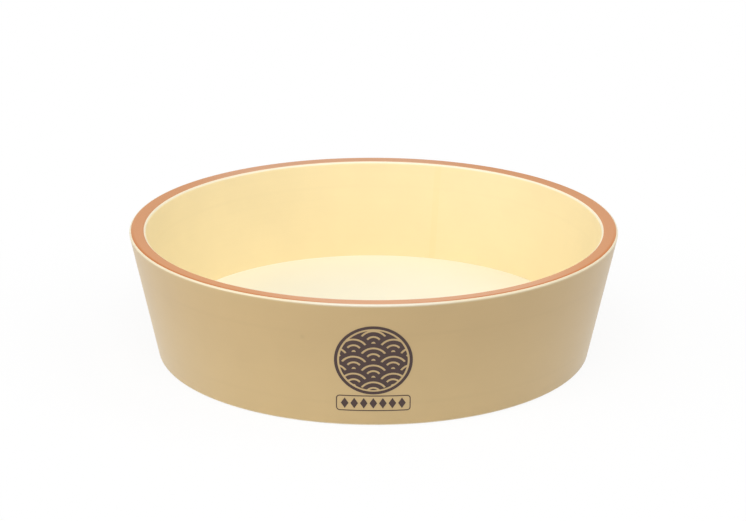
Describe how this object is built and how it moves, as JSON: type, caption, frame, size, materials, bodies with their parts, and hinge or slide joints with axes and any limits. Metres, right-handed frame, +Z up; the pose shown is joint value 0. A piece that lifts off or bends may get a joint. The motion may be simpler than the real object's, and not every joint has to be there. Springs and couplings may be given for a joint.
{
  "type": "hangiri sushi rice tub",
  "caption": "Wide shallow round rice tub: a leaning wall of foamed board between two plastic skins, its core bare at the rim, on a thick wedged-in floor board.",
  "frame": {"origin": "centre of the foot ring, on the plane that the tub stands on", "axes": "+Z up through the open rim, -Y towards the printed front, +X to the right as the front is seen"},
  "size_m": [0.54, 0.54, 0.1425],
  "materials": {
    "core": "sawn and rounded foamed plastic, matt",
    "outer_skin": "satin polyethylene sheet",
    "inner_skin": "satin polyethylene sheet",
    "board": "fine matt polyethylene",
    "ink": "screen-printed ink, matt"
  },
  "bodies": {
    "root": {"wall_core": "core", "outer_skin": "outer_skin", "outer_seam": "outer_skin", "inner_skin": "inner_skin", "inner_seam": "inner_skin", "base_board": "board", "front_print": "ink"}
  },
  "joints": []
}
